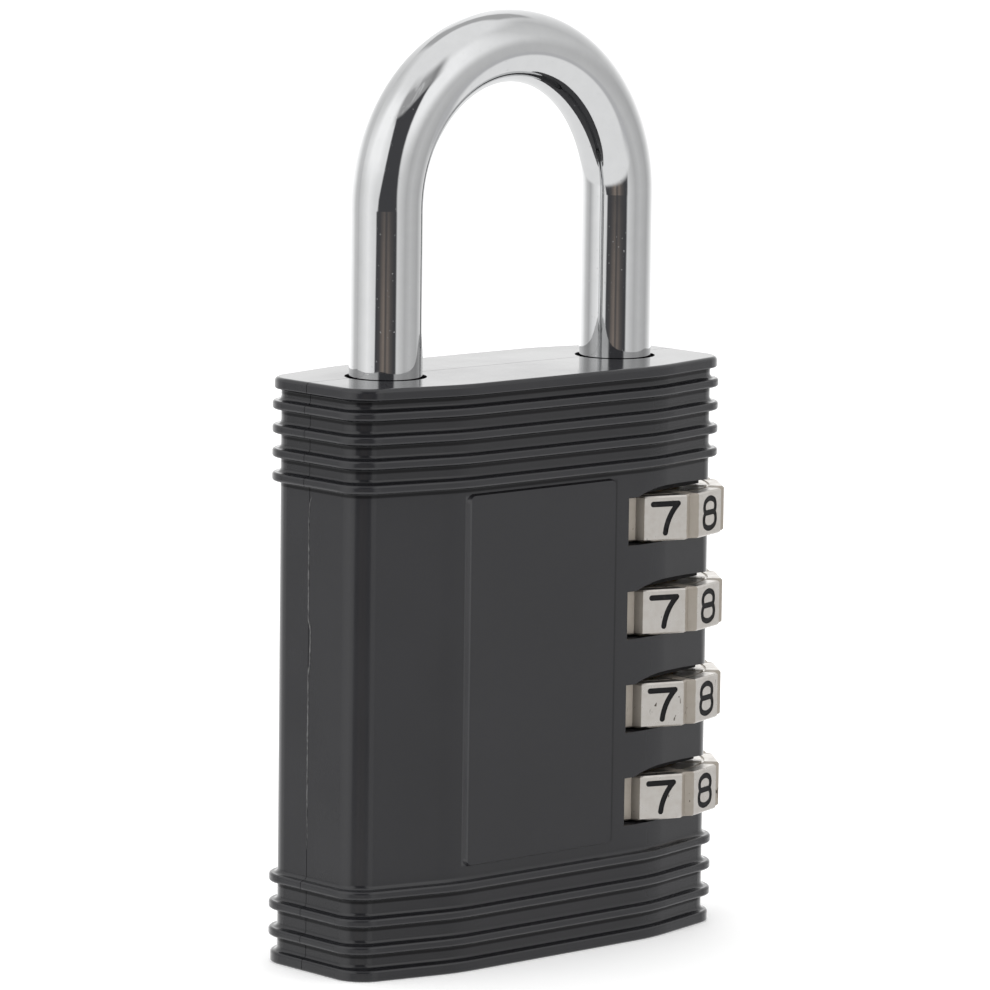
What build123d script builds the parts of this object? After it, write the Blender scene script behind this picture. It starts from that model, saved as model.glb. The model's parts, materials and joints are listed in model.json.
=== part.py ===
"""Four-dial combination padlock: two moulded body shells around a die-cast lock case.

Millimetres.  The origin is the centre of the base, +Z runs up the shackle,
+X points to the end that carries the dials, and -Y is the front with the raised panel.
"""

import os
from math import cos, radians, sin

from build123d import *

# ---------------------------------------------------------------- driving sizes
# Body outline over the ribs: an eight-sided plan with narrow ends
rib_half_width = 21.5
rib_half_depth = 8.53
rib_half_end = 6.15
front_half_width = 11.40
rib_height = 0.67
end_corner = 3.0
soft_corner = 16.0
soft_corner_shift = 0.12
body_height = 50.58

# Ribs under the top face and above the base: a wide cove over each, a narrow one below
rib_thickness = 0.76
rib_edge = 0.24
cove_above = 0.40
cove_below = 0.20
cove_root = 0.05
top_rib_z = 48.24
top_rib_pitch = 2.05
top_rib_count = 4
base_rib_z = 2.70
base_rib_pitch = 2.36
base_rib_count = 3
lip_thickness = 0.98
lip_set_back = 0.22
lip_top_edge = 0.38
lip_bottom_edge = 0.15

# Raised panel on the front and back
panel_left = -10.42
panel_right = 6.45
panel_bottom = 9.15
panel_top = 40.95
panel_rise = 0.26
panel_corner = 0.6
panel_bevel = 30
panel_sink = 0.30

# Parting plane of the two shells, a little behind the middle, and the groove along it
parting_y = 0.67
seam_half_width = 0.03
seam_depth = 0.10

# Shell walls and the cavity that holds the lock case
wall_side = 1.26
wall_end = 0.88
wall_top = 1.58
wall_base = 1.60
case_fit = 0.03
cavity_corner = 0.8
cavity_soft_corner = 12.0
cavity_end_wall = 0.80
cavity_flat_shift = 0.5

# Shackle
rod_radius = 3.15
long_leg_x = 13.57
short_leg_x = -13.06
spring_line_z = 64.90
short_leg_depth = 6.98
shackle_hole_radius = 3.52
leg_bore_radius = 3.22
core_radius = 1.50
core_end_z = 4.50
fin_radius = 2.95
fin_width = 2.40
fin_thickness = 1.10
fin_rise = 0.80
full_leg_chamfer = 0.3
core_chamfer = 0.25
leg_tip_chamfer = 0.7
full_leg_clearance = 0.35

# Dials: ten flats with a shallow vee between each pair
dial_x = 14.93
dial_count = 4
dial_top_z = 37.10
dial_pitch = 8.24
dial_height = 3.95
dial_apothem = 8.64
flat_half_width = 2.045
vee_radius = 8.46
dial_edge = 0.14
dial_bore_radius = 5.00
clutch_radius = 5.50
clutch_floor = 0.25
ring_groove_radius = 7.30
ring_groove_width = 0.25
ring_groove_depth = 0.15

# Engraved digits
digit_width = 2.40
digit_height = 2.54
digit_stroke = 0.50
digit_depth = 0.25
digit_overcut = 0.10

# Sleeves, one inside each dial, stacked on the reset spring
sleeve_radius = 4.95
sleeve_gap = 0.04
pocket_radius = 4.40
web_bore_radius = 2.96
web_thickness = 0.90
gate_width = 2.80
lug_radius = 5.44
lug_width = 0.90
lug_height = 0.90
lug_rise = 0.35
notch_width = 1.12

# Slots for the dials, in the case and in the shells
case_slot_radius = 9.20
slot_below = 0.15
slot_above = 0.12
window_left = 8.20
window_relief_start = 9.30
window_crest = (13.1, 0.68)
window_relief_end = 0.0
window_relief_slope = -0.052
window_overrun = 5.0
channel_mouth = 5.0
channel_lip = 1.2
channel_headroom = 0.1

# Reset spring, its washer and its seat, and the clip on the end of the leg
seat_floor_z = 2.60
seat_thickness = 0.90
seat_boss_radius = 2.0
seat_boss_height = 0.6
washer_thickness = 0.60
washer_bore_radius = 4.06
spring_radius = 4.48
spring_wire = 0.56
spring_turns = 3
clip_radius = 2.60
clip_thickness = 0.60
clip_groove_radius = 1.15
clip_mouth = 2.0
clip_top_z = 5.78

# Detent comb: a leaf strip with a finger for each dial
comb_back_x = 4.55
comb_thickness = 0.30
comb_half_width = 2.0
finger_half_width = 1.2
finger_root_drop = 3.4
finger_flat_half = 0.9
finger_tip_rise = 1.5
finger_tip_lead = 0.5
comb_bottom_z = 7.4
comb_top_z = 41.2
comb_gap = 0.03
comb_pocket_left = 4.20
comb_pocket_right = 6.60
comb_pocket_half_width = 2.3
rivet_z = (15.4, 40.1)
rivet_radius = 0.55
rivet_head_radius = 0.85
rivet_head_height = 0.35
rivet_grip = 1.9
rivet_hole_depth = 2.0

# Case fastenings and the moulded pegs that align the shells
screw_positions = ((-7.5, 4.5), (5.0, 4.5), (-7.5, 45.0), (3.0, 45.0))
screw_radius = 1.0
screw_head_radius = 1.9
screw_head_height = 0.9
screw_length = 9.6
screw_clearance = 0.03
screw_boss_radius = 2.6
screw_drive_width = 0.5
screw_drive_depth = 0.45
dowel_positions = ((-14.5, 4.2), (7.6, 45.0))
dowel_radius = 1.0
dowel_length = 6.0
dowel_chamfer = 0.2
peg_positions = ((-8.5, 14.5), (-8.5, 35.0))
peg_radius = 1.2
socket_radius = 1.25
peg_boss_radius = 2.1
peg_hole_radius = 2.25
peg_end_gap = 1.0
case_wall = 1.6
casting_hollow_centre = (-9.0, 22.5)
casting_hollow_size = (20.5, 33.0)
casting_hollow_corner = 1.5

# ---------------------------------------------------------------- derived sizes
plain_half_width = rib_half_width - rib_height
plain_half_depth = rib_half_depth - rib_height
plain_half_end = rib_half_end - rib_height
cavity_half_width = plain_half_width - wall_end
cavity_half_depth = plain_half_depth - wall_side
cavity_half_end = plain_half_end - cavity_end_wall
cavity_top_z = body_height - wall_top
parting_plane = Plane.XZ.offset(-parting_y)
shackle_centre_x = (long_leg_x + short_leg_x) / 2
shackle_bend = (long_leg_x - short_leg_x) / 2
short_leg_tip_z = body_height - short_leg_depth
dial_levels = [dial_top_z - dial_pitch * index for index in range(dial_count)]
sleeve_half_height = dial_pitch / 2 - sleeve_gap / 2
stack_top_z = dial_levels[0] + dial_pitch / 2
stack_bottom_z = dial_levels[-1] - dial_pitch / 2
full_leg_end_z = stack_top_z + full_leg_clearance
dial_sector = 36
slot_height = dial_height + slot_below + slot_above

# Centre lines of the digit strokes on a unit box: two points are a line, three an arc
digit_strokes = {
    0: (
        ((-0.5, -0.17), (-0.5, 0.17)),
        ((0.5, -0.17), (0.5, 0.17)),
        ((-0.5, 0.17), (0, 0.5), (0.5, 0.17)),
        ((-0.5, -0.17), (0, -0.5), (0.5, -0.17)),
    ),
    1: (
        ((0.08, -0.5), (0.08, 0.5)),
        ((-0.22, 0.26), (0.08, 0.5)),
    ),
    2: (
        ((-0.5, 0.22), (0.02, 0.5), (0.47, 0.14)),
        ((0.47, 0.14), (-0.5, -0.5)),
        ((-0.5, -0.5), (0.5, -0.5)),
    ),
    3: (
        ((-0.46, 0.32), (0.14, 0.49), (0.02, 0.05)),
        ((0.02, 0.05), (0.22, -0.47), (-0.5, -0.30)),
    ),
    4: (
        ((0.2, -0.5), (0.2, 0.5)),
        ((0.2, 0.5), (-0.5, -0.2)),
        ((-0.5, -0.2), (0.5, -0.2)),
    ),
    5: (
        ((0.42, 0.5), (-0.4, 0.5)),
        ((-0.4, 0.5), (-0.46, 0.04)),
        ((-0.46, 0.04), (0.42, -0.10), (-0.5, -0.38)),
    ),
    6: (
        ((-0.45, -0.18), (0, 0.12), (0.45, -0.18)),
        ((-0.45, -0.18), (0, -0.5), (0.45, -0.18)),
        ((-0.45, -0.18), (-0.25, 0.30), (0.25, 0.5)),
    ),
    7: (
        ((-0.5, 0.5), (0.5, 0.5)),
        ((0.5, 0.5), (0.17, 0.05), (0.0, -0.5)),
    ),
    8: (
        ((-0.33, 0.03), (0.33, 0.03)),
        ((-0.33, 0.03), (-0.42, 0.21), (-0.35, 0.41)),
        ((0.33, 0.03), (0.42, 0.21), (0.35, 0.41)),
        ((-0.35, 0.41), (0, 0.52), (0.35, 0.41)),
        ((-0.33, 0.03), (-0.45, -0.19), (-0.38, -0.41)),
        ((0.33, 0.03), (0.45, -0.19), (0.38, -0.41)),
        ((-0.38, -0.41), (0, -0.52), (0.38, -0.41)),
    ),
    9: (
        ((0.45, 0.18), (0, -0.12), (-0.45, 0.18)),
        ((0.45, 0.18), (0, 0.5), (-0.45, 0.18)),
        ((0.45, 0.18), (0.25, -0.30), (-0.25, -0.5)),
    ),
}


def save(part, name):
    """Label a finished piece and write it to its own STEP file."""
    part.label = name
    export_step(part, f"parts/{name}.step")


def body_outline(half_width, half_end, half_flat, half_depth, end_round, soft_round):
    """Eight-sided plan outline with rounded corners."""
    quarter = [(half_flat, -half_depth), (half_width, -half_end)]
    right = quarter + [(x, -y) for x, y in reversed(quarter)]
    left = [(-x, -y) for x, y in right]
    with BuildSketch() as outline:
        with BuildLine():
            Polyline(*right, *left, close=True)
        make_face()
        fillet(outline.vertices().filter_by(lambda corner: abs(corner.X) > half_width - 1), end_round)
        fillet(
            outline.vertices().filter_by(
                lambda corner: half_flat - 1 < abs(corner.X) < half_flat + 1
            ),
            soft_round,
        )
    return outline.sketch


def flat_face(part, height):
    """Level face of a part at one height."""
    level_faces = part.faces().filter_by(Axis.Z)
    return level_faces.filter_by(lambda face: abs(face.center().Z - height) < cove_root)[0]


def collar(outline, thickness, coves, edges):
    """Plate round the body wall, with the cove and the edge radius above it and below it."""
    root_above, root_below = [cove + cove_root if cove else 0 for cove in coves]
    with BuildPart() as plate:
        with BuildSketch(Plane.XY.offset(-root_below)):
            add(plain_profile)
        extrude(amount=root_below + thickness + root_above)
        with BuildSketch():
            add(outline)
        extrude(amount=thickness)
        for height, cove, edge in zip((thickness, 0), coves, edges):
            if cove:
                fillet(flat_face(plate, height).inner_wires()[0].edges(), cove)
            fillet(flat_face(plate, height).outer_wire().edges(), edge)
    return plate.part


def dial_window(level):
    """Outline, in X and Z, of the shell opening that a dial shows through."""
    bottom = level - dial_height / 2 - slot_below
    top = bottom + slot_height
    right = rib_half_width + window_overrun
    crest = (window_crest[0], top + window_crest[1])
    relief_end = (right, top + window_relief_end)
    with BuildSketch() as window:
        with BuildLine():
            Line((window_left, bottom), (window_left, top))
            Line((window_left, top), (window_relief_start, top))
            Spline((window_relief_start, top), crest, tangents=((1, 0.4), (1, 0)))
            Spline(crest, relief_end, tangents=((1, 0), (1, window_relief_slope)))
            Line(relief_end, (right, bottom))
            Line((right, bottom), (window_left, bottom))
        make_face()
    return window.sketch


def dial_outline():
    """Ten flats with a shallow vee between each pair, centred on the dial's axis."""
    points = []
    for index in range(10):
        angle = radians(dial_sector * index)
        vee_angle = radians(dial_sector * (index + 0.5))
        for along in (-flat_half_width, flat_half_width):
            points.append(
                (
                    dial_apothem * cos(angle) - along * sin(angle),
                    dial_apothem * sin(angle) + along * cos(angle),
                )
            )
        points.append((vee_radius * cos(vee_angle), vee_radius * sin(vee_angle)))
    with BuildSketch() as outline:
        with BuildLine():
            Polyline(*points, close=True)
        make_face()
    return outline.sketch


def digit_plane(digit, level):
    """Plane on the flat that carries a digit, seen upright from outside."""
    angle = radians(dial_sector * digit)
    outward = (cos(angle), sin(angle), 0)
    centre = (dial_x + dial_apothem * cos(angle), dial_apothem * sin(angle), level)
    return Plane(origin=centre, x_dir=(-sin(angle), cos(angle), 0), z_dir=outward)


def digit_shape(digit):
    """Strokes of one digit, with round ends."""
    with BuildSketch() as shape:
        for stroke in digit_strokes[digit]:
            points = [(u * digit_width, v * digit_height) for u, v in stroke]
            with BuildLine():
                if len(points) == 2:
                    Line(*points)
                else:
                    ThreePointArc(*points)
            trace(line_width=digit_stroke)
            with Locations(points[0], points[-1]):
                Circle(digit_stroke / 2)
    return shape.sketch


rib_profile = body_outline(
    rib_half_width, rib_half_end, front_half_width, rib_half_depth, end_corner, soft_corner
)
plain_profile = body_outline(
    plain_half_width,
    plain_half_end,
    front_half_width - soft_corner_shift,
    plain_half_depth,
    end_corner - rib_height,
    soft_corner - rib_height,
)
lip_profile = body_outline(
    rib_half_width - lip_set_back,
    rib_half_end,
    front_half_width,
    rib_half_depth,
    end_corner,
    soft_corner,
)
cavity_profile = body_outline(
    cavity_half_width,
    cavity_half_end,
    front_half_width - cavity_flat_shift,
    cavity_half_depth,
    cavity_corner,
    cavity_soft_corner,
)
case_profile = body_outline(
    cavity_half_width - case_fit,
    cavity_half_end - case_fit,
    front_half_width - cavity_flat_shift,
    cavity_half_depth - case_fit,
    cavity_corner,
    cavity_soft_corner,
)
dial_profile = dial_outline()
digit_shapes = {digit: digit_shape(digit) for digit in digit_strokes}

os.makedirs("parts", exist_ok=True)

# ---------------------------------------------------------------- body shells
rib = collar(rib_profile, rib_thickness, (cove_above, cove_below), (rib_edge, rib_edge))
top_lip = collar(lip_profile, lip_thickness, (0, cove_below), (lip_top_edge, lip_bottom_edge))
base_lip = collar(lip_profile, lip_thickness, (cove_above, 0), (rib_edge, lip_bottom_edge))

with BuildPart() as shell:
    with BuildSketch():
        add(plain_profile)
    extrude(amount=body_height)
    for side in (-1, 1):
        with BuildSketch(Plane.XZ.offset(-side * (plain_half_depth + panel_rise))):
            with Locations(((panel_left + panel_right) / 2, (panel_bottom + panel_top) / 2)):
                RectangleRounded(panel_right - panel_left, panel_top - panel_bottom, panel_corner)
        extrude(amount=side * (panel_rise + panel_sink), taper=-panel_bevel)
    for index in range(top_rib_count):
        with Locations((0, 0, top_rib_z - index * top_rib_pitch - rib_thickness / 2)):
            add(rib)
    for index in range(base_rib_count):
        with Locations((0, 0, base_rib_z + index * base_rib_pitch - rib_thickness / 2)):
            add(rib)
    with Locations((0, 0, body_height - lip_thickness)):
        add(top_lip)
    add(base_lip)
    with BuildSketch(Plane.XY.offset(wall_base)):
        add(cavity_profile)
    extrude(amount=cavity_top_z - wall_base, mode=Mode.SUBTRACT)
    with BuildSketch(Plane.XY.offset(body_height)):
        with Locations((long_leg_x, 0), (short_leg_x, 0)):
            Circle(shackle_hole_radius)
    extrude(amount=-2 * wall_top, mode=Mode.SUBTRACT)
    for level in dial_levels:
        with BuildSketch(Plane.XZ):
            add(dial_window(level))
        extrude(amount=rib_half_depth + window_overrun, both=True, mode=Mode.SUBTRACT)
    with BuildSketch(parting_plane):
        with Locations((0, body_height / 2)):
            Rectangle(2 * rib_half_width, body_height)
        with Locations((0, body_height / 2 - seam_depth)):
            Rectangle(2 * (plain_half_width - seam_depth), body_height, mode=Mode.SUBTRACT)
    extrude(amount=seam_half_width, both=True, mode=Mode.SUBTRACT)

with BuildPart() as front_shell:
    add(shell.part)
    split(bisect_by=parting_plane, keep=Keep.TOP)
    with BuildSketch(parting_plane):
        with Locations(*peg_positions):
            Circle(peg_boss_radius)
            Circle(socket_radius, mode=Mode.SUBTRACT)
    extrude(amount=cavity_half_depth + parting_y)
save(front_shell.part, "front_shell")

with BuildPart() as back_shell:
    add(shell.part)
    split(bisect_by=parting_plane, keep=Keep.BOTTOM)
    with BuildSketch(parting_plane):
        with Locations(*peg_positions):
            Circle(peg_boss_radius)
    extrude(amount=parting_y - cavity_half_depth)
    with BuildSketch(parting_plane):
        with Locations(*peg_positions):
            Circle(peg_radius)
    extrude(amount=cavity_half_depth + parting_y - peg_end_gap)
save(back_shell.part, "back_shell")

# ---------------------------------------------------------------- lock case
case_bottom_z = wall_base + case_fit
case_top_z = cavity_top_z - case_fit
case_half_depth = cavity_half_depth - case_fit
comb_pocket_top_z = comb_top_z + case_fit
comb_pocket_bottom_z = comb_bottom_z - case_fit

with BuildPart() as case:
    with BuildSketch(Plane.XY.offset(case_bottom_z)):
        add(case_profile)
    extrude(amount=case_top_z - case_bottom_z)
    # Guide bores of the two legs
    with BuildSketch(Plane.XY.offset(case_top_z)):
        with Locations((long_leg_x, 0)):
            Circle(leg_bore_radius)
    extrude(amount=-(case_top_z - stack_top_z), mode=Mode.SUBTRACT)
    with BuildSketch(Plane.XY.offset(case_top_z)):
        with Locations((short_leg_x, 0)):
            Circle(leg_bore_radius)
    extrude(amount=-(case_top_z - short_leg_tip_z + 1.0), mode=Mode.SUBTRACT)
    # Channel of the sleeve stack, open toward the end of the body
    with BuildSketch(Plane.XY.offset(seat_floor_z)):
        with Locations((dial_x, 0)):
            Circle(dial_bore_radius)
        with Locations((dial_x + dial_bore_radius, 0)):
            Rectangle(channel_mouth, 2 * (dial_bore_radius - channel_lip))
    extrude(amount=stack_top_z + channel_headroom - seat_floor_z, mode=Mode.SUBTRACT)
    # Slots of the dials
    for level in dial_levels:
        with BuildSketch(Plane.XY.offset(level - dial_height / 2 - slot_below)):
            with Locations((dial_x, 0)):
                Circle(case_slot_radius)
        extrude(amount=slot_height, mode=Mode.SUBTRACT)
    # Pocket of the detent comb
    with BuildSketch(Plane.XY.offset(comb_pocket_bottom_z)):
        with Locations(((comb_pocket_left + comb_pocket_right) / 2, 0)):
            Rectangle(comb_pocket_right - comb_pocket_left, 2 * comb_pocket_half_width)
    extrude(amount=comb_pocket_top_z - comb_pocket_bottom_z, mode=Mode.SUBTRACT)
    # Hollow of the casting, with columns left round the fastenings and the pegs
    with BuildSketch(Plane.XZ):
        with Locations(casting_hollow_centre):
            RectangleRounded(*casting_hollow_size, casting_hollow_corner)
        with Locations(*peg_positions):
            Circle(peg_hole_radius + case_wall, mode=Mode.SUBTRACT)
        with Locations(*screw_positions):
            Circle(screw_boss_radius, mode=Mode.SUBTRACT)
    extrude(amount=case_half_depth - case_wall, both=True, mode=Mode.SUBTRACT)
    with BuildSketch(Plane.XZ):
        with Locations(*peg_positions):
            Circle(peg_hole_radius)
    extrude(amount=cavity_half_depth, both=True, mode=Mode.SUBTRACT)
    with BuildSketch(Plane.XZ):
        with Locations(*dowel_positions):
            Circle(dowel_radius)
    extrude(amount=dowel_length / 2, both=True, mode=Mode.SUBTRACT)
    with BuildSketch(Plane.XZ.offset(case_half_depth)):
        with Locations(*screw_positions):
            Circle(screw_radius + screw_clearance)
    extrude(amount=-screw_length - screw_clearance, mode=Mode.SUBTRACT)
    with BuildSketch(Plane.XZ.offset(case_half_depth)):
        with Locations(*screw_positions):
            Circle(screw_head_radius + screw_clearance)
    extrude(amount=-screw_head_height, taper=45, mode=Mode.SUBTRACT)
    with BuildSketch(Plane.YZ.offset(comb_pocket_left)):
        with Locations(*[(0, height) for height in rivet_z]):
            Circle(rivet_radius)
    extrude(amount=-rivet_hole_depth, mode=Mode.SUBTRACT)

with BuildPart() as case_front:
    add(case.part)
    split(bisect_by=Plane.XZ, keep=Keep.TOP)
save(case_front.part, "case_front")

with BuildPart() as case_back:
    add(case.part)
    split(bisect_by=Plane.XZ, keep=Keep.BOTTOM)
save(case_back.part, "case_back")

with BuildPart() as case_screws:
    with BuildSketch(Plane.XZ.offset(case_half_depth)):
        with Locations(*screw_positions):
            Circle(screw_radius)
    extrude(amount=-screw_length)
    with BuildSketch(Plane.XZ.offset(case_half_depth)):
        with Locations(*screw_positions):
            Circle(screw_head_radius)
    extrude(amount=-screw_head_height, taper=45)
    with BuildSketch(Plane.XZ.offset(case_half_depth)):
        with Locations(*screw_positions):
            Rectangle(2 * screw_head_radius, screw_drive_width)
    extrude(amount=-screw_drive_depth, mode=Mode.SUBTRACT)
save(case_screws.part, "case_screws")

with BuildPart() as case_dowels:
    with BuildSketch(Plane.XZ):
        with Locations(*dowel_positions):
            Circle(dowel_radius)
    extrude(amount=dowel_length / 2, both=True)
    chamfer(case_dowels.edges(), dowel_chamfer)
save(case_dowels.part, "case_dowels")

# ---------------------------------------------------------------- shackle
with BuildPart() as shackle:
    with BuildLine(Plane.XZ):
        Line((long_leg_x, full_leg_end_z), (long_leg_x, spring_line_z))
        CenterArc((shackle_centre_x, spring_line_z), shackle_bend, 0, 180)
        Line((short_leg_x, spring_line_z), (short_leg_x, short_leg_tip_z))
    with BuildSketch(Plane.XY.offset(full_leg_end_z)):
        with Locations((long_leg_x, 0)):
            Circle(rod_radius)
    sweep()
    chamfer(shackle.edges().group_by(Axis.Z)[0], full_leg_chamfer)
    short_leg_edges = shackle.edges().filter_by(lambda edge: edge.center().X < shackle_centre_x)
    chamfer(short_leg_edges.group_by(Axis.Z)[0], leg_tip_chamfer)
    with BuildSketch(Plane.XY.offset(core_end_z)):
        with Locations((long_leg_x, 0)):
            Circle(core_radius)
    extrude(amount=full_leg_end_z - core_end_z)
    for level in dial_levels:
        with BuildSketch(Plane.XY.offset(level + fin_rise)):
            with Locations((long_leg_x, 0)):
                Circle(fin_radius)
            with Locations((long_leg_x - fin_radius, 0)):
                Rectangle(2 * fin_radius, fin_width, mode=Mode.INTERSECT)
        extrude(amount=fin_thickness)
    with BuildSketch(Plane.XY.offset(clip_top_z)):
        with Locations((long_leg_x, 0)):
            Circle(rod_radius)
            Circle(clip_groove_radius, mode=Mode.SUBTRACT)
    extrude(amount=-clip_thickness, mode=Mode.SUBTRACT)
    chamfer(shackle.edges().group_by(Axis.Z)[0], core_chamfer)
save(shackle.part, "shackle")

with BuildPart() as shackle_clip:
    with BuildSketch(Plane.XY.offset(clip_top_z)):
        with Locations((long_leg_x, 0)):
            Circle(clip_radius)
            Circle(clip_groove_radius, mode=Mode.SUBTRACT)
        with Locations((long_leg_x + clip_radius / 2, 0)):
            Rectangle(clip_radius, clip_mouth, mode=Mode.SUBTRACT)
        with Locations((long_leg_x, 0)):
            Circle(clip_groove_radius, mode=Mode.SUBTRACT)
    extrude(amount=-clip_thickness)
save(shackle_clip.part, "shackle_clip")

# ---------------------------------------------------------------- dials and sleeves
for index, level in enumerate(dial_levels):
    with BuildPart() as dial:
        with BuildSketch(Plane.XY.offset(level - dial_height / 2)):
            with Locations((dial_x, 0)):
                add(dial_profile)
        extrude(amount=dial_height)
        chamfer(dial.edges().filter_by(Plane.XY), dial_edge)
        with BuildSketch(Plane.XY.offset(level - dial_height / 2)):
            with Locations((dial_x, 0)):
                Circle(clutch_radius)
        extrude(amount=dial_height / 2 + clutch_floor, mode=Mode.SUBTRACT)
        with BuildSketch(Plane.XY.offset(level + clutch_floor)):
            with Locations((dial_x, 0)):
                Circle(dial_bore_radius)
                with PolarLocations(dial_bore_radius, 10):
                    Rectangle(2 * (clutch_radius - dial_bore_radius), notch_width)
        extrude(amount=dial_height, mode=Mode.SUBTRACT)
        for end, inward in ((level + dial_height / 2, -1), (level - dial_height / 2, 1)):
            with BuildSketch(Plane.XY.offset(end)):
                with Locations((dial_x, 0)):
                    Circle(ring_groove_radius + ring_groove_width)
                    Circle(ring_groove_radius, mode=Mode.SUBTRACT)
            extrude(amount=inward * ring_groove_depth, mode=Mode.SUBTRACT)
        for digit, shape in digit_shapes.items():
            with BuildSketch(digit_plane(digit, level).offset(digit_overcut)):
                add(shape)
            extrude(amount=-digit_depth - digit_overcut, mode=Mode.SUBTRACT)
    save(dial.part, f"dial_{index + 1}")

    with BuildPart() as sleeve:
        with BuildSketch(Plane.XY.offset(level - sleeve_half_height)):
            with Locations((dial_x, 0)):
                Circle(sleeve_radius)
        extrude(amount=2 * sleeve_half_height)
        with BuildSketch(Plane.XY.offset(level + lug_rise)):
            with Locations((dial_x, 0)):
                Circle(lug_radius)
                Rectangle(4 * lug_radius, lug_width, mode=Mode.INTERSECT)
        extrude(amount=lug_height)
        with BuildSketch(Plane.XY.offset(level - sleeve_half_height)):
            with Locations((dial_x, 0)):
                Circle(pocket_radius)
        extrude(amount=2 * sleeve_half_height - web_thickness, mode=Mode.SUBTRACT)
        with BuildSketch(Plane.XY.offset(level + sleeve_half_height)):
            with Locations((dial_x, 0)):
                Circle(pocket_radius)
            with Locations((dial_x - pocket_radius, 0)):
                Rectangle(2 * pocket_radius, gate_width, mode=Mode.INTERSECT)
            with Locations((dial_x, 0)):
                Circle(web_bore_radius)
        extrude(amount=-2 * web_thickness, mode=Mode.SUBTRACT)
    save(sleeve.part, f"sleeve_{index + 1}")

# ---------------------------------------------------------------- reset spring
seat_top_z = seat_floor_z + seat_thickness
washer_top_z = stack_bottom_z - sleeve_gap / 2
washer_bottom_z = washer_top_z - washer_thickness

with BuildPart() as spring_seat:
    with BuildSketch(Plane.XY.offset(seat_floor_z)):
        with Locations((dial_x, 0)):
            Circle(sleeve_radius)
    extrude(amount=seat_thickness)
    with BuildSketch(Plane.XY.offset(seat_top_z)):
        with Locations((dial_x, 0)):
            Circle(seat_boss_radius)
    extrude(amount=seat_boss_height)
save(spring_seat.part, "spring_seat")

with BuildPart() as thrust_washer:
    with BuildSketch(Plane.XY.offset(washer_bottom_z)):
        with Locations((dial_x, 0)):
            Circle(sleeve_radius)
            Circle(washer_bore_radius, mode=Mode.SUBTRACT)
    extrude(amount=washer_thickness)
save(thrust_washer.part, "thrust_washer")

coil_height = washer_bottom_z - seat_top_z - spring_wire
coil_pitch = coil_height / spring_turns
coil_start = Plane(
    origin=(dial_x, 0, seat_top_z + spring_wire / 2), x_dir=(1, 0, 0), z_dir=(0, 0, 1)
)
with BuildPart() as reset_spring:
    with BuildLine(coil_start) as coil:
        Helix(pitch=coil_pitch, height=coil_height, radius=spring_radius)
    with BuildSketch(Plane(origin=coil.line @ 0, z_dir=coil.line % 0)):
        Circle(spring_wire / 2)
    sweep(path=coil.line, is_frenet=True)
save(reset_spring.part, "reset_spring")

# ---------------------------------------------------------------- detent comb
finger_x = dial_x - dial_apothem - comb_gap - comb_thickness / 2
with BuildPart() as detent_comb:
    with BuildSketch(Plane.XZ):
        with BuildLine():
            Line((comb_back_x, comb_bottom_z), (comb_back_x, comb_top_z))
        trace(line_width=comb_thickness)
    extrude(amount=comb_half_width, both=True)
    with BuildSketch(Plane.XZ):
        for level in dial_levels:
            with BuildLine():
                Line((comb_back_x, level - finger_root_drop), (finger_x, level - finger_flat_half))
                Line((finger_x, level - finger_flat_half), (finger_x, level + finger_flat_half))
                Line(
                    (finger_x, level + finger_flat_half),
                    (finger_x - finger_tip_lead, level + finger_tip_rise),
                )
            trace(line_width=comb_thickness)
    extrude(amount=finger_half_width, both=True)
    with BuildSketch(Plane.YZ.offset(comb_back_x)):
        with Locations(*[(0, height) for height in rivet_z]):
            Circle(rivet_radius)
    extrude(amount=comb_thickness, both=True, mode=Mode.SUBTRACT)
save(detent_comb.part, "detent_comb")

with BuildPart() as comb_rivets:
    with BuildSketch(Plane.YZ.offset(comb_back_x + comb_thickness / 2)):
        with Locations(*[(0, height) for height in rivet_z]):
            Circle(rivet_radius)
    extrude(amount=-(comb_back_x + comb_thickness / 2 - comb_pocket_left) - rivet_grip)
    with BuildSketch(Plane.YZ.offset(comb_back_x + comb_thickness / 2)):
        with Locations(*[(0, height) for height in rivet_z]):
            Circle(rivet_head_radius)
    extrude(amount=rivet_head_height)
save(comb_rivets.part, "comb_rivets")
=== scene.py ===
"""Looks of the four-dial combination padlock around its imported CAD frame.

Metres, in the CAD frame: the origin is the centre of the base, +Z runs up the shackle, +X points to
the dials and -Y is the front."""

import json
from math import cos, pi, radians, sin

import bmesh
import bpy
from mathutils import Matrix, Vector, noise


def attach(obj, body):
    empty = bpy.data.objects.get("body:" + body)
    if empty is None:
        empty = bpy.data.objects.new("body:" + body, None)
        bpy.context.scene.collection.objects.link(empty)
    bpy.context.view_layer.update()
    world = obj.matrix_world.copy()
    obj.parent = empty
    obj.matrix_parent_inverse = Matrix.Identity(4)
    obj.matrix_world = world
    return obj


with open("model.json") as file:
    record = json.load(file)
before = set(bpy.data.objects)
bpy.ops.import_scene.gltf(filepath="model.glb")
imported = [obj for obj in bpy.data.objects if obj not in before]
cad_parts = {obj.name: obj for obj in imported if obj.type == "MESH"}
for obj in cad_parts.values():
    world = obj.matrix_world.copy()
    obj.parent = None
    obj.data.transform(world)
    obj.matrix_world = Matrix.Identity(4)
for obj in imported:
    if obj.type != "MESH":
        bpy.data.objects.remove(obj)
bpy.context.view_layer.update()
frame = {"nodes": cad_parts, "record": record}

MM = 0.001
WHITE = (1.0, 1.0, 1.0, 1.0)
scene = bpy.context.scene
nodes = frame["nodes"]

# The dials, as the CAD has them
DIAL_COUNT = 4
DIAL_FLATS = 10
DIAL_AXIS_X = 14.93 * MM
DIAL_APOTHEM = 8.64
DIGIT_DEPTH = 0.25

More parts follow.
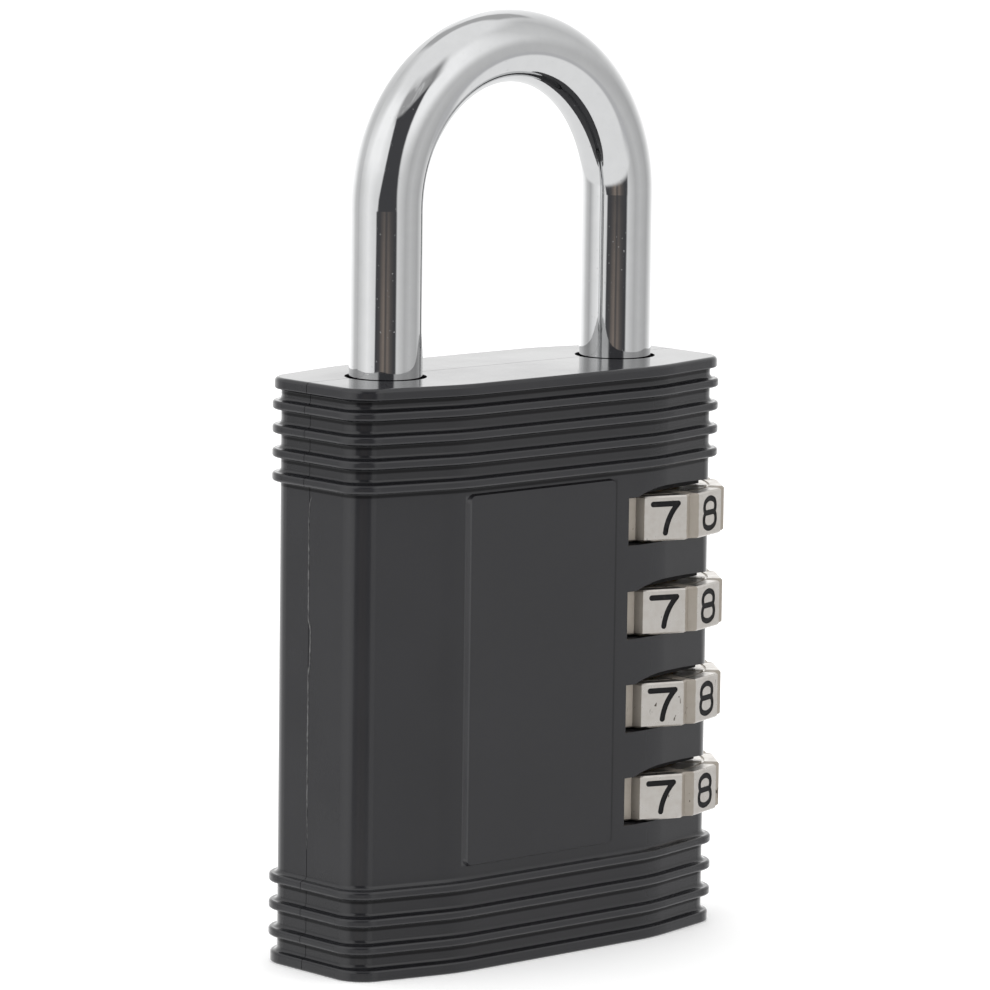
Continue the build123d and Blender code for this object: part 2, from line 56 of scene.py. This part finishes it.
# ---------------------------------------------------------------- camera
CAMERA_AZIMUTH = radians(42.0)
CAMERA_TILT = radians(8.14)
CAMERA_ROLL = radians(0.75)
CAMERA_DISTANCE = 522.511 * MM
CAMERA_AIM = Vector((-0.374, 0.0, 39.295)) * MM
CAMERA_LENS = 219.286
SENSOR_WIDTH = 36.0

# Horizontal directions from the padlock to the camera's right and to the camera
TO_RIGHT = Vector((cos(CAMERA_AZIMUTH), -sin(CAMERA_AZIMUTH), 0.0))
TO_CAMERA = Vector((-sin(CAMERA_AZIMUTH), -cos(CAMERA_AZIMUTH), 0.0))


def make_camera():
    """Camera at the viewing angle, with a long lens."""
    data = bpy.data.cameras.new("view")
    data.lens = CAMERA_LENS
    data.sensor_width = SENSOR_WIDTH
    data.clip_start = 0.01
    data.clip_end = 20.0
    camera = bpy.data.objects.new("view", data)
    scene.collection.objects.link(camera)
    look = -TO_CAMERA * cos(CAMERA_TILT) + Vector((0.0, 0.0, -sin(CAMERA_TILT)))
    level_up = TO_RIGHT.cross(look)
    side = TO_RIGHT * cos(CAMERA_ROLL) + level_up * sin(CAMERA_ROLL)
    up = level_up * cos(CAMERA_ROLL) - TO_RIGHT * sin(CAMERA_ROLL)
    turn = Matrix((side, up, -look)).transposed().to_4x4()
    camera.matrix_world = Matrix.Translation(CAMERA_AIM - look * CAMERA_DISTANCE) @ turn
    scene.camera = camera


# ---------------------------------------------------------------- node helpers
def grey(level):
    return (level, level, level, 1.0)


class Graph:
    """Short names for the shader nodes used below."""

    def __init__(self, tree):
        self.tree = tree
        tree.nodes.clear()

    def node(self, kind, **settings):
        made = self.tree.nodes.new(kind)
        for name, value in settings.items():
            setattr(made, name, value)
        return made

    def put(self, socket, value):
        if isinstance(value, bpy.types.NodeSocket):
            self.tree.links.new(value, socket)
        elif value is not None:
            socket.default_value = value

    def math(self, operation, first, second=None, third=None):
        made = self.node("ShaderNodeMath", operation=operation)
        for socket, value in zip(made.inputs, (first, second, third)):
            self.put(socket, value)
        return made.outputs[0]

    def step(self, value, start, end, low=0.0, high=1.0):
        """Smooth step of value from low at start to high at end."""
        made = self.node("ShaderNodeMapRange", interpolation_type="SMOOTHSTEP")
        for socket, item in zip(made.inputs, (value, start, end, low, high)):
            self.put(socket, item)
        return made.outputs[0]

    def band(self, value, rise, fall):
        """Hump that is 1 between the two pairs of limits and falls smoothly to 0 across them."""
        return self.math("MULTIPLY", self.step(value, *rise), self.step(value, *fall))

    def away_from(self, value, level):
        """Distance of value from a level."""
        return self.math("ABSOLUTE", self.math("SUBTRACT", value, level))

    def mix(self, share, first, second):
        """Mix of two colours."""
        made = self.node("ShaderNodeMix", data_type="RGBA")
        self.put(made.inputs[0], share)
        self.put(made.inputs[6], first)
        self.put(made.inputs[7], second)
        return made.outputs[2]

    def noise(self, vector, scale, detail=4.0, roughness=0.5, distortion=0.0):
        made = self.node("ShaderNodeTexNoise")
        self.put(made.inputs["Vector"], vector)
        made.inputs["Scale"].default_value = scale
        made.inputs["Detail"].default_value = detail
        made.inputs["Roughness"].default_value = roughness
        made.inputs["Distortion"].default_value = distortion
        return made.outputs["Fac"]

    def place(self):
        """Position in the object's own coordinates, which are the CAD frame's."""
        return self.node("ShaderNodeTexCoord").outputs["Object"]

    def stretch(self, vector, scale):
        made = self.node("ShaderNodeMapping")
        self.put(made.inputs["Vector"], vector)
        made.inputs["Scale"].default_value = scale
        return made.outputs["Vector"]

    def parts(self, vector):
        made = self.node("ShaderNodeSeparateXYZ")
        self.put(made.inputs[0], vector)
        return made.outputs

    def ramp(self, value, stops):
        """Grey ramp through (position, level) stops."""
        made = self.node("ShaderNodeValToRGB")
        ramp = made.color_ramp
        while len(ramp.elements) < len(stops):
            ramp.elements.new(0.5)
        for element, (position, level) in zip(ramp.elements, stops):
            element.position = position
            element.color = grey(level)
        self.put(made.inputs[0], value)
        return made.outputs[0]

    def bump(self, height, distance, strength=1.0, under=None):
        made = self.node("ShaderNodeBump")
        made.inputs["Strength"].default_value = strength
        made.inputs["Distance"].default_value = distance
        self.put(made.inputs["Height"], height)
        self.put(made.inputs["Normal"], under)
        return made.outputs[0]


def material(name):
    """New node material with a Principled shader wired to its output."""
    made = bpy.data.materials.new(name)
    made.use_nodes = True
    graph = Graph(made.node_tree)
    shader = graph.node("ShaderNodeBsdfPrincipled")
    output = graph.node("ShaderNodeOutputMaterial")
    graph.tree.links.new(shader.outputs[0], output.inputs[0])
    return made, graph, shader.inputs


# ---------------------------------------------------------------- light
# The studio is a white tent with an opening round the camera.  Bearings are in degrees from the
# camera, positive to its right, heights are in degrees over the horizon, and brightness 1 is plain
# white.  A pair of angles says where a soft edge starts and ends.
LOW_WALLS = (
    (-180, 1.55), (-155, 1.50), (-130, 1.25), (-115, 0.80), (-97, 0.58), (-80, 0.98), (-60, 1.20),
    (-40, 1.00), (35, 0.90), (48, 0.76), (60, 0.62), (78, 0.72), (90, 0.66), (108, 0.58),
    (122, 0.80), (150, 1.40), (180, 1.55),
)
HIGH_WALLS = (
    (-180, 1.20), (-150, 0.95), (-120, 0.78), (-95, 0.95), (-75, 1.35), (-45, 1.35), (-25, 1.10),
    (40, 1.30), (60, 1.30), (75, 1.15), (90, 0.85), (120, 0.72), (150, 0.95), (180, 1.20),
)
WALLS_CHANGE = (2.0, 24.0)
ROOF_LEVEL = 1.08
ROOF_EDGE = (46.0, 64.0)

# Folds of the tent over the opening, darker on the right
FOLD_LEVEL = 0.46
RIGHT_FOLD_LEVEL = 0.36
FOLD_LEFT = (-40.0, -22.0)
FOLD_RIGHT = (50.0, 34.0)
FOLD_FOOT = (36.0, 44.0)
FOLD_TOP = (70.0, 54.0)
FOLD_CHANGE = (22.0, 34.0)
FOLD_GRAIN = 5.0
FOLD_NOISE = (0.30, 0.52)
FOLD_STRENGTH = (0.60, 1.0)

# A dim band high on the far wall
BACK_FOLD_LEVEL = 0.55
BACK_FOLD_SIDE = (135.0, 150.0)
BACK_FOLD_FOOT = (40.0, 45.0)
BACK_FOLD_TOP = (62.0, 56.0)

# The opening.  Its sides bow outwards: height of the widest place, bend, and bearing there.
OPENING_COLOUR = (0.075, 0.075, 0.08, 1.0)
OPENING_LEFT = (22.0, -0.020, -17.0)
OPENING_RIGHT = (15.0, 0.012, 25.5)
OPENING_LEFT_EDGE = (-3.0, 2.0)
OPENING_RIGHT_EDGE = (-4.0, 2.5)
OPENING_TOP = (44.0, 40.5)

# Something warm and dim low in the opening, as strengths across a span of bearings
WARM_COLOUR = (0.30, 0.25, 0.215, 1.0)
WARM_SPAN = 60
WARM_BANDS = (
    (0.0, 0.0), (0.16, 0.10), (0.38, 1.0), (0.47, 0.15), (0.58, 0.80), (0.72, 0.25), (0.9, 0.0),
)
WARM_TOP = (-4.6, -6.8)

# The table, which starts a little higher in the opening, and the shadow line on it
TABLE_LEVEL = 1.05
TABLE_START = -12.0
TABLE_RISE = 1.6
TABLE_FULL = -14.2
SHADOW_COLOUR = (0.64, 0.64, 0.65, 1.0)
SHADOW_LEFT = (38.0, 62.0)
SHADOW_RIGHT = (150.0, 120.0)
SHADOW_TOP = (-23.0, -18.0)

FLOOR_HALF = 4.0
FLOOR_DROP = 0.02 * MM
FLOOR_GLOW = 0.22


def bearing_stops(walls):
    return [((bearing + 180) / 360, level) for bearing, level in walls]


def make_world():
    """White tent, seen in reflections; the camera itself sees only white."""
    world = bpy.data.worlds.new("studio")
    world.use_nodes = True
    scene.world = world
    graph = Graph(world.node_tree)
    direction = graph.node("ShaderNodeTexCoord").outputs["Generated"]

    def along(axis):
        made = graph.node("ShaderNodeVectorMath", operation="DOT_PRODUCT")
        graph.put(made.inputs[0], direction)
        made.inputs[1].default_value = axis
        return made.outputs["Value"]

    to_degrees = 180 / pi
    turned = graph.math("ARCTAN2", along(TO_RIGHT), along(TO_CAMERA))
    bearing = graph.math("MULTIPLY", turned, to_degrees)
    raised = graph.math("ARCSINE", along(Vector((0, 0, 1))))
    height = graph.math("MULTIPLY", raised, to_degrees)
    around = graph.math("MULTIPLY_ADD", bearing, 1 / 360, 0.5)

    low = graph.ramp(around, bearing_stops(LOW_WALLS))
    high = graph.ramp(around, bearing_stops(HIGH_WALLS))
    tent = graph.mix(graph.step(height, *WALLS_CHANGE), low, high)
    tent = graph.mix(graph.step(height, *ROOF_EDGE), tent, grey(ROOF_LEVEL))

    fold_noise = graph.noise(direction, FOLD_GRAIN, detail=2.0, distortion=0.6)
    fold_side = graph.band(bearing, FOLD_LEFT, FOLD_RIGHT)
    fold_height = graph.band(height, FOLD_FOOT, FOLD_TOP)
    fold = graph.math("MULTIPLY", fold_side, fold_height)
    fold = graph.math("MULTIPLY", fold, graph.step(fold_noise, *FOLD_NOISE, *FOLD_STRENGTH))
    fold_level = graph.step(bearing, *FOLD_CHANGE, FOLD_LEVEL, RIGHT_FOLD_LEVEL)
    tent = graph.mix(fold, tent, fold_level)

    far_side = graph.step(graph.math("ABSOLUTE", bearing), *BACK_FOLD_SIDE)
    far_height = graph.band(height, BACK_FOLD_FOOT, BACK_FOLD_TOP)
    tent = graph.mix(graph.math("MULTIPLY", far_side, far_height), tent, grey(BACK_FOLD_LEVEL))

    def opening_side(widest, bend, bearing_there):
        """Bearing of a side of the opening at each height."""
        lifted = graph.math("POWER", graph.math("SUBTRACT", height, widest), 2.0)
        return graph.math("MULTIPLY_ADD", lifted, bend, bearing_there)

    past_left = graph.math("SUBTRACT", bearing, opening_side(*OPENING_LEFT))
    past_right = graph.math("SUBTRACT", opening_side(*OPENING_RIGHT), bearing)
    opening = graph.math(
        "MULTIPLY",
        graph.step(past_left, *OPENING_LEFT_EDGE),
        graph.step(past_right, *OPENING_RIGHT_EDGE),
    )
    opening = graph.math("MULTIPLY", opening, graph.step(height, *OPENING_TOP))
    warm_bands = graph.ramp(graph.math("MULTIPLY_ADD", bearing, 1 / WARM_SPAN, 0.5), WARM_BANDS)
    warm = graph.math("MULTIPLY", warm_bands, graph.step(height, *WARM_TOP))
    tent = graph.mix(opening, tent, graph.mix(warm, OPENING_COLOUR, WARM_COLOUR))

    table_start = graph.math("MULTIPLY_ADD", opening, TABLE_RISE, TABLE_START)
    table_edge = graph.step(height, table_start, TABLE_FULL)
    shadow = graph.band(bearing, SHADOW_LEFT, SHADOW_RIGHT)
    shadow = graph.math("MULTIPLY", shadow, graph.step(height, *SHADOW_TOP))
    tent = graph.mix(table_edge, tent, graph.mix(shadow, grey(TABLE_LEVEL), SHADOW_COLOUR))

    seen = graph.node("ShaderNodeLightPath").outputs["Is Camera Ray"]
    background = graph.node("ShaderNodeBackground")
    graph.put(background.inputs["Color"], graph.mix(seen, tent, WHITE))
    output = graph.node("ShaderNodeOutputWorld")
    graph.tree.links.new(background.outputs[0], output.inputs[0])


def make_lamp(name, place, size, energy):
    """Square soft light that points at the padlock and doesn't show in reflections."""
    data = bpy.data.lights.new(name, "AREA")
    data.shape = "SQUARE"
    data.size = size
    data.energy = energy
    lamp = bpy.data.objects.new(name, data)
    lamp.location = place
    towards = CAMERA_AIM - Vector(place)
    lamp.rotation_euler = towards.to_track_quat("-Z", "Y").to_euler()
    lamp.visible_glossy = False
    lamp.visible_camera = False
    scene.collection.objects.link(lamp)


def make_floor():
    """Plain pale floor."""
    mesh = bpy.data.meshes.new("floor")
    sides = ((-1, -1), (1, -1), (1, 1), (-1, 1))
    corners = [(x * FLOOR_HALF, y * FLOOR_HALF, -FLOOR_DROP) for x, y in sides]
    mesh.from_pydata(corners, [], [(0, 1, 2, 3)])
    floor = bpy.data.objects.new("floor", mesh)
    scene.collection.objects.link(floor)
    made, graph, shader = material("floor_white")
    tone = graph.noise(graph.place(), 3.0, detail=2.0)
    graph.put(shader["Base Color"], graph.mix(tone, grey(0.90), grey(0.92)))
    shader["Roughness"].default_value = 0.9
    shader["Specular IOR Level"].default_value = 0.1
    shader["Emission Color"].default_value = WHITE
    shader["Emission Strength"].default_value = FLOOR_GLOW
    mesh.materials.append(made)
    floor.visible_glossy = False


# ---------------------------------------------------------------- materials
# Part of a noise's range that holds most of its values
NOISE_SPAN = (0.3, 0.7)

# Narrow coves under the ribs and the top lip, where shade is painted in as a darker colour and
# weaker gloss, in millimetres
COVE_DROP = 0.58
TOP_COVES = [48.24 - COVE_DROP - 2.05 * index for index in range(4)]
BASE_COVES = [2.70 - COVE_DROP + 2.36 * index for index in range(3)]
LIP_COVE = 49.40
COVE_LEVELS = TOP_COVES + BASE_COVES + [LIP_COVE]
COVE_REACH = (0.30, 0.15)

# The panel's bevels: a painted highlight on the left one, painted shade at the foot of the right
# one
HIGHLIGHT_EDGE_X = -10.50
SHADED_EDGE_X = 6.58
EDGE_SHADE_STRENGTH = 0.55
EDGE_REACH = (0.30, 0.12)
PANEL_MIDDLE_Z = 25.05
PANEL_HALF_HEIGHT = (16.1, 15.7)

PLASTIC_DARK = (0.017, 0.017, 0.019, 1)
PLASTIC_LIGHT = (0.023, 0.023, 0.026, 1)
# Painted highlight: the colour of the panel's left bevel
PLASTIC_PAINTED_HIGHLIGHT = (0.050, 0.050, 0.053, 1)
# Painted shade: the colour of the coves and of the foot of the panel's right bevel
PLASTIC_PAINTED_SHADE = (0.009, 0.009, 0.010, 1)
CHROME_DARK = (0.60, 0.605, 0.61, 1)
CHROME_LIGHT = (0.66, 0.665, 0.67, 1)
NICKEL_DARK = (0.60, 0.572, 0.535, 1)
NICKEL_LIGHT = (0.68, 0.655, 0.62, 1)
NICKEL_STAIN = (0.50, 0.45, 0.40, 1)
NICKEL_VEE = (0.40, 0.355, 0.30, 1)
NICKEL_NICK = (0.09, 0.075, 0.06, 1)
PAINT_BLACK = (0.008, 0.008, 0.009, 1)
PAINT_WORN = (0.034, 0.032, 0.030, 1)
COAT_DARK = (0.010, 0.010, 0.011, 1)
COAT_LIGHT = (0.022, 0.022, 0.023, 1)
FLASH_DARK = (0.045, 0.045, 0.046, 1)
FLASH_PALE = (0.17, 0.17, 0.17, 1)
# Where the vees start, as a share of a dial's sector counted from the middle of the flat
VEE_EDGE = (0.374, 0.384)


def black_plastic():
    """Glossy moulded plastic, with painted shade in the coves and at the foot of the panel's right
    bevel and a painted highlight on its left bevel.
    """
    made, graph, shader = material("body_black")
    place = graph.place()
    cloud = graph.noise(place, 90.0, detail=3.0)
    grain = graph.noise(place, 5200.0, detail=2.0, roughness=0.6)
    sink = graph.noise(place, 160.0, detail=1.0)
    height = graph.math("DIVIDE", graph.parts(place)["Z"], MM)
    # dull gathers the painted shade of the coves and of the foot of the panel's right bevel
    dull = 0.0
    for level in COVE_LEVELS:
        painted_cove_shade = graph.step(graph.away_from(height, level), *COVE_REACH)
        dull = graph.math("MAXIMUM", dull, painted_cove_shade)
    sideways = graph.math("DIVIDE", graph.parts(place)["X"], MM)
    on_panel = graph.step(graph.away_from(height, PANEL_MIDDLE_Z), *PANEL_HALF_HEIGHT)

    def panel_edge(edge_x):
        near = graph.step(graph.away_from(sideways, edge_x), *EDGE_REACH)
        return graph.math("MULTIPLY", on_panel, near)

    # Painted highlight along the panel's left bevel
    painted_highlight = panel_edge(HIGHLIGHT_EDGE_X)
    # Painted shade at the foot of the panel's right bevel
    painted_edge_shade = graph.math("MULTIPLY", panel_edge(SHADED_EDGE_X), EDGE_SHADE_STRENGTH)
    dull = graph.math("MAXIMUM", dull, painted_edge_shade)
    tone = graph.mix(cloud, PLASTIC_DARK, PLASTIC_LIGHT)
    tone = graph.mix(painted_highlight, tone, PLASTIC_PAINTED_HIGHLIGHT)
    # Painted shade: where dull is high the colour darkens and the gloss weakens
    graph.put(shader["Base Color"], graph.mix(dull, tone, PLASTIC_PAINTED_SHADE))
    graph.put(shader["Specular IOR Level"], graph.step(dull, 0.0, 1.0, 0.5, 0.2))
    graph.put(shader["Roughness"], graph.step(cloud, *NOISE_SPAN, 0.13, 0.19))
    wavy = graph.bump(sink, 0.02 * MM, 0.25)
    graph.put(shader["Normal"], graph.bump(grain, 0.004 * MM, 0.35, wavy))
    return made


def chrome():
    """Bright plate on a bent rod: slow waves in the surface, fine wiping marks and a few pits."""
    made, graph, shader = material("shackle_chrome")
    place = graph.place()
    wave = graph.noise(graph.stretch(place, (1.0, 1.0, 0.35)), 420.0, detail=2.0)
    haze = graph.noise(place, 700.0, detail=4.0, roughness=0.6)
    wipe = graph.noise(graph.stretch(place, (6.0, 6.0, 0.4)), 900.0, detail=3.0)
    pits = graph.noise(place, 4200.0, detail=1.0)
    shader["Metallic"].default_value = 1.0
    graph.put(shader["Base Color"], graph.mix(haze, CHROME_DARK, CHROME_LIGHT))
    graph.put(shader["Roughness"], graph.step(wipe, 0.35, 0.8, 0.035, 0.085))
    waves = graph.bump(wave, 0.015 * MM, 0.35)
    pitted = graph.bump(graph.step(pits, 0.74, 0.80), -0.01 * MM, 0.5, waves)
    graph.put(shader["Normal"], pitted)
    return made


def satin_nickel():
    """Plated zinc: satin sheen, faint mottling, and dark nicks in the plate."""
    made, graph, shader = material("dial_nickel")
    place = graph.place()
    mottle = graph.noise(place, 1500.0, detail=4.0, roughness=0.6)
    cloud = graph.noise(place, 260.0, detail=3.0)
    nick = graph.noise(graph.stretch(place, (1.0, 1.0, 0.45)), 2600.0, detail=2.0, distortion=0.8)
    brush = graph.noise(graph.stretch(place, (1.0, 1.0, 8.0)), 1400.0, detail=3.0)
    # The vees between the flats are rougher and browner than the flats
    across = graph.math("SUBTRACT", graph.parts(place)["X"], DIAL_AXIS_X)
    angle = graph.math("ARCTAN2", graph.parts(place)["Y"], across)
    sector = graph.math("MULTIPLY_ADD", angle, DIAL_FLATS / (2 * pi), 0.5)
    off_flat = graph.away_from(graph.math("FRACT", sector), 0.5)
    vee = graph.step(graph.math("MULTIPLY_ADD", mottle, 0.02, off_flat), *VEE_EDGE)
    tone = graph.mix(cloud, NICKEL_DARK, NICKEL_LIGHT)
    tone = graph.mix(graph.step(mottle, 0.35, 0.75, 0.0, 0.30), tone, NICKEL_STAIN)
    tone = graph.mix(graph.math("MULTIPLY", vee, 0.8), tone, NICKEL_VEE)
    tone = graph.mix(graph.step(nick, 0.715, 0.78), tone, NICKEL_NICK)
    graph.put(shader["Base Color"], tone)
    graph.put(shader["Metallic"], graph.step(vee, 0.0, 1.0, 1.0, 0.72))
    dull = graph.math("MULTIPLY", vee, 0.20)
    satin = graph.step(mottle, *NOISE_SPAN, 0.27, 0.38)
    graph.put(shader["Roughness"], graph.math("ADD", satin, dull))
    fine = graph.bump(brush, 0.006 * MM, 0.25)
    graph.put(shader["Normal"], graph.bump(mottle, 0.01 * MM, 0.25, fine))
    return made


def digit_paint():
    """Matt black filling of the engraved digits, slightly worn."""
    made, graph, shader = material("digit_paint")
    place = graph.place()
    wear = graph.noise(place, 1800.0, detail=4.0, roughness=0.65)
    worn = graph.step(wear, 0.5, 0.8)
    graph.put(shader["Base Color"], graph.mix(worn, PAINT_BLACK, PAINT_WORN))
    shader["Specular IOR Level"].default_value = 0.22
    graph.put(shader["Roughness"], graph.step(wear, *NOISE_SPAN, 0.55, 0.75))
    graph.put(shader["Normal"], graph.bump(wear, 0.02 * MM, 0.4))
    return made


def black_coat():
    """Dull black coating on the castings."""
    made, graph, shader = material("zinc_case")
    place = graph.place()
    grain = graph.noise(place, 1500.0, detail=4.0, roughness=0.6)
    graph.put(shader["Base Color"], graph.mix(grain, COAT_DARK, COAT_LIGHT))
    shader["Specular IOR Level"].default_value = 0.3
    graph.put(shader["Roughness"], graph.step(grain, *NOISE_SPAN, 0.55, 0.75))
    graph.put(shader["Normal"], graph.bump(grain, 0.03 * MM, 0.4))
    return made


def metal(name, dark, light, rough, grain_scale, depth, lay=(1.0, 1.0, 1.0)):
    """Bare or plated metal with grain in colour, roughness and relief."""
    made, graph, shader = material(name)
    place = graph.place()
    grain = graph.noise(graph.stretch(place, lay), grain_scale, detail=4.0, roughness=0.6)
    cloud = graph.noise(place, 220.0, detail=3.0)
    shader["Metallic"].default_value = 1.0
    blend = graph.math("MULTIPLY_ADD", grain, 0.6, graph.math("MULTIPLY", cloud, 0.4))
    graph.put(shader["Base Color"], graph.mix(blend, (*dark, 1), (*light, 1)))
    graph.put(shader["Roughness"], graph.step(grain, *NOISE_SPAN, rough * 0.85, rough * 1.2))
    graph.put(shader["Normal"], graph.bump(grain, depth * MM, 0.4))
    return made


def finish_nodes():
    """Give every CAD node the finish of its material slot."""
    finishes = {
        "body_black": black_plastic(),
        "shackle_chrome": chrome(),
        "dial_nickel": satin_nickel(),
        "zinc_case": black_coat(),
        "steel_fastener": metal(
            "steel_fastener", (0.42, 0.43, 0.45), (0.60, 0.61, 0.63), 0.32, 1800.0, 0.01
        ),
        "spring_steel": metal(
            "spring_steel", (0.30, 0.31, 0.34), (0.48, 0.49, 0.52), 0.28, 1600.0, 0.01, (1, 1, 5)
        ),
        "brass": metal(
            "brass", (0.55, 0.39, 0.16), (0.76, 0.58, 0.28), 0.30, 1500.0, 0.01, (1, 1, 7)
        ),
    }
    for subpart in frame["record"]["subparts"]:
        slots = nodes[subpart["node"]].data.materials
        slots.clear()
        slots.append(finishes[subpart["material_slot"]])


# ---------------------------------------------------------------- paint in the digits
ENGRAVED_RADIUS = (DIAL_APOTHEM - DIGIT_DEPTH) * MM
RADIUS_TOLERANCE = 0.02 * MM
UPRIGHT_TOLERANCE = 0.01
WELD_DISTANCE = 0.001 * MM
PAINT_THICKNESS = 0.19 * MM


def fill_digits(number, paint):
    """Solid paint on the floors of one dial's engraved digits."""
    node = nodes[f"dial_{number}"]
    mesh = bpy.data.meshes.new(f"digit_paint_{number}")
    paints = bmesh.new()
    paints.from_mesh(node.data)
    others = []
    for face in paints.faces:
        outward = Vector((face.normal.x, face.normal.y, 0.0))
        centre = face.calc_center_median() - Vector((DIAL_AXIS_X, 0.0, 0.0))
        level = centre.dot(outward)
        upright = abs(face.normal.z) < UPRIGHT_TOLERANCE
        if not upright or abs(level - ENGRAVED_RADIUS) > RADIUS_TOLERANCE:
            others.append(face)
    bmesh.ops.delete(paints, geom=others, context="FACES")
    bmesh.ops.remove_doubles(paints, verts=paints.verts, dist=WELD_DISTANCE)
    floors = list(paints.faces)
    for face in floors:
        face.normal_update()
    outward_of = {vert: vert.link_faces[0].normal.copy() for vert in paints.verts}
    raised = bmesh.ops.extrude_face_region(paints, geom=floors, use_keep_orig=True)
    for item in raised["geom"]:
        if isinstance(item, bmesh.types.BMVert):
            near = min(outward_of, key=lambda vert: (vert.co - item.co).length_squared)
            item.co += outward_of[near] * PAINT_THICKNESS
    bmesh.ops.recalc_face_normals(paints, faces=paints.faces)
    paints.to_mesh(mesh)
    paints.free()
    mesh.materials.append(paint)
    piece = bpy.data.objects.new(mesh.name, mesh)
    scene.collection.objects.link(piece)
    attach(piece, f"dial_{number}")


# ---------------------------------------------------------------- moulding flash
END_FACE_X = -20.83 * MM
FLASH_STEP = 0.2 * MM
FLASH_WIDTH = 0.17 * MM
FLASH_HEIGHT = 0.09 * MM
FLASH_ROOT = 0.03 * MM
FLASH_RIPPLE = 0.05 * MM
# Waves of the flash per millimetre of height, and the row of the noise that they are read from
RIPPLE_WAVES, RIPPLE_ROW = 0.9, 3.1
RAGGED_WAVES, RAGGED_ROW = 3.7, 9.4
# Height and sideways place of the flash line along the parting line, in millimetres
FLASH_PATH = (
    (10.4, 0.62), (18.0, 0.66), (25.6, 0.64), (26.8, 0.44), (29.4, 0.40), (30.4, 0.68),
    (38.5, 0.74), (40.2, 0.64), (41.0, 0.36),
)


def along_path(path, height):
    """Sideways place at a height, between the points of a path."""
    for (low, start), (high, end) in zip(path, path[1:]):
        if low <= height <= high:
            share = (height - low) / (high - low)
            return start + (end - start) * share * share * (3 - 2 * share)
    return path[-1][1]


def worn_plastic():
    """Torn, paler edge of the moulded plastic."""
    made, graph, shader = material("flash_plastic")
    grain = graph.noise(graph.place(), 2400.0, detail=3.0)
    torn = graph.step(grain, 0.35, 0.65)
    graph.put(shader["Base Color"], graph.mix(torn, FLASH_DARK, FLASH_PALE))
    graph.put(shader["Roughness"], graph.step(grain, *NOISE_SPAN, 0.32, 0.5))
    return made


def make_flash():
    """Thin, uneven flash standing on the left end of the body."""
    start = FLASH_PATH[0][0] * MM
    end = FLASH_PATH[-1][0] * MM
    count = int((end - start) / FLASH_STEP)
    points, faces = [], []
    for index in range(count + 1):
        height = start + (end - start) * index / count
        ripple = noise.noise(Vector((height / MM * RIPPLE_WAVES, RIPPLE_ROW, 0.0)))
        ragged = noise.noise(Vector((height / MM * RAGGED_WAVES, RAGGED_ROW, 0.0)))
        side = along_path(FLASH_PATH, height / MM) * MM + ripple * FLASH_RIPPLE
        taper = sin(pi * index / count) ** 0.25
        half = FLASH_WIDTH * (0.5 + 0.2 * ragged) * taper
        rise = FLASH_HEIGHT * (0.75 + 0.5 * ragged) * taper
        points += [
            (END_FACE_X + FLASH_ROOT, side - half, height),
            (END_FACE_X - rise, side - 0.3 * half, height),
            (END_FACE_X - rise * 0.7, side + 0.4 * half, height),
            (END_FACE_X + FLASH_ROOT, side + half, height),
        ]
        if index:
            base = 4 * (index - 1)
            for corner in range(4):
                following = (corner + 1) % 4
                low = (base + corner, base + following)
                faces.append((*low, base + 4 + following, base + 4 + corner))
    faces.append((3, 2, 1, 0))
    last = 4 * count
    faces.append((last, last + 1, last + 2, last + 3))
    mesh = bpy.data.meshes.new("moulding_flash")
    mesh.from_pydata(points, [], faces)
    mesh.update()
    shape = bmesh.new()
    shape.from_mesh(mesh)
    bmesh.ops.recalc_face_normals(shape, faces=shape.faces)
    shape.to_mesh(mesh)
    shape.free()
    mesh.materials.append(worn_plastic())
    piece = bpy.data.objects.new("moulding_flash", mesh)
    scene.collection.objects.link(piece)
    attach(piece, "body")


make_camera()
make_world()
make_floor()
make_lamp("top_light", place=(0.0, 0.1, 1.1), size=1.2, energy=5.0)
scene.view_settings.view_transform = "Standard"
finish_nodes()
paint = digit_paint()
for number in range(1, DIAL_COUNT + 1):
    fill_digits(number, paint)
make_flash()
